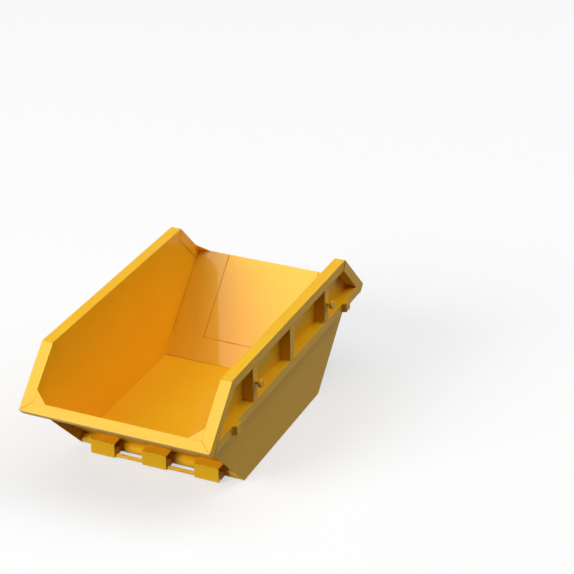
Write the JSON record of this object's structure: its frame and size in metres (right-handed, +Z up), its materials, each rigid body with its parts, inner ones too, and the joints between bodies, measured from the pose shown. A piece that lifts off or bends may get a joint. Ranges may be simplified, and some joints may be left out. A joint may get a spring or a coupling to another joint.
{
  "type": "builders skip",
  "caption": "Yellow steel builders skip with sloping ends, a framed rim, lifting lugs, a tipping bar under one end and a drop door held by two latches in the other.",
  "frame": {"origin": "on the ground at the middle of the skip", "axes": "+X along the skip towards the drop door, +Y towards its left side, +Z up"},
  "size_m": [3.1722, 1.826, 1.16],
  "materials": {
    "yellow_paint": "glossy enamel with dust and rubbed edges",
    "worn_steel": "greasy bare steel"
  },
  "bodies": {
    "skip": {"bar_end_bottom_tube": "yellow_paint", "bar_end_chamfer_rail_left": "yellow_paint", "bar_end_chamfer_rail_right": "yellow_paint", "bar_end_corner_gusset_left": "yellow_paint", "bar_end_corner_gusset_right": "yellow_paint", "bar_end_lifting_lug_left": "yellow_paint", "bar_end_lifting_lug_right": "yellow_paint", "bar_end_plate": "yellow_paint", "bar_end_post_left": "yellow_paint", "bar_end_post_right": "yellow_paint", "bar_end_rail_block_left": "yellow_paint", "bar_end_rail_block_right": "yellow_paint", "bar_end_rim": "yellow_paint", "door_end_bottom_rail": "yellow_paint", "door_end_chamfer_rail_left": "yellow_paint", "door_end_chamfer_rail_right": "yellow_paint", "door_end_corner_gusset_left": "yellow_paint", "door_end_corner_gusset_right": "yellow_paint", "door_end_lifting_lug_left": "yellow_paint", "door_end_lifting_lug_right": "yellow_paint", "door_end_post_left": "yellow_paint", "door_end_post_right": "yellow_paint", "door_end_rail_block_left": "yellow_paint", "door_end_rail_block_right": "yellow_paint", "door_end_rim_left": "yellow_paint", "door_end_rim_right": "yellow_paint", "door_end_sill": "yellow_paint", "door_end_wing_left": "yellow_paint", "door_end_wing_right": "yellow_paint", "floor_plate": "yellow_paint", "floor_runner_left": "yellow_paint", "floor_runner_right": "yellow_paint", "hinge_pin": "worn_steel", "latch_pivot_left": "worn_steel", "latch_pivot_right": "worn_steel", "lower_rail_left": "yellow_paint", "lower_rail_right": "yellow_paint", "middle_post_left": "yellow_paint", "middle_post_right": "yellow_paint", "side_plate_left": "yellow_paint", "side_plate_right": "yellow_paint", "sill_hinge_left": "yellow_paint", "sill_hinge_right": "yellow_paint", "tipping_bar": "yellow_paint", "tipping_bracket_left": "yellow_paint", "tipping_bracket_middle": "yellow_paint", "tipping_bracket_right": "yellow_paint", "top_rail_left": "yellow_paint", "top_rail_right": "yellow_paint", "wing_stile_left": "yellow_paint", "wing_stile_right": "yellow_paint"},
    "door": {"door_bottom_rail": "yellow_paint", "door_hinge_left": "yellow_paint", "door_hinge_right": "yellow_paint", "door_panel": "yellow_paint", "door_rim": "yellow_paint", "door_stile_left": "yellow_paint", "door_stile_right": "yellow_paint"},
    "latch_left": {"latch_arm_left": "yellow_paint"},
    "latch_right": {"latch_arm_right": "yellow_paint"}
  },
  "joints": [
    {"name": "door_hinge", "type": "hinge", "parent": "skip", "child": "door", "pos_m": [0.96238, 0, 0.20435], "axis": [0, 1, 0], "range_deg": [0, 54]},
    {"name": "latch_left_pivot", "type": "hinge", "parent": "skip", "child": "latch_left", "pos_m": [1.40079, 0.4775, 0.57912], "axis": [0.7071, 0, -0.7071], "range_deg": [0, 110]},
    {"name": "latch_right_pivot", "type": "hinge", "parent": "skip", "child": "latch_right", "pos_m": [1.40079, -0.4775, 0.57912], "axis": [-0.7071, 0, 0.7071], "range_deg": [0, 110]}
  ],
  "couplings": [
    {"joint": "latch_left_pivot", "follows": "door_hinge", "ratio": 2},
    {"joint": "latch_right_pivot", "follows": "door_hinge", "ratio": 2}
  ]
}
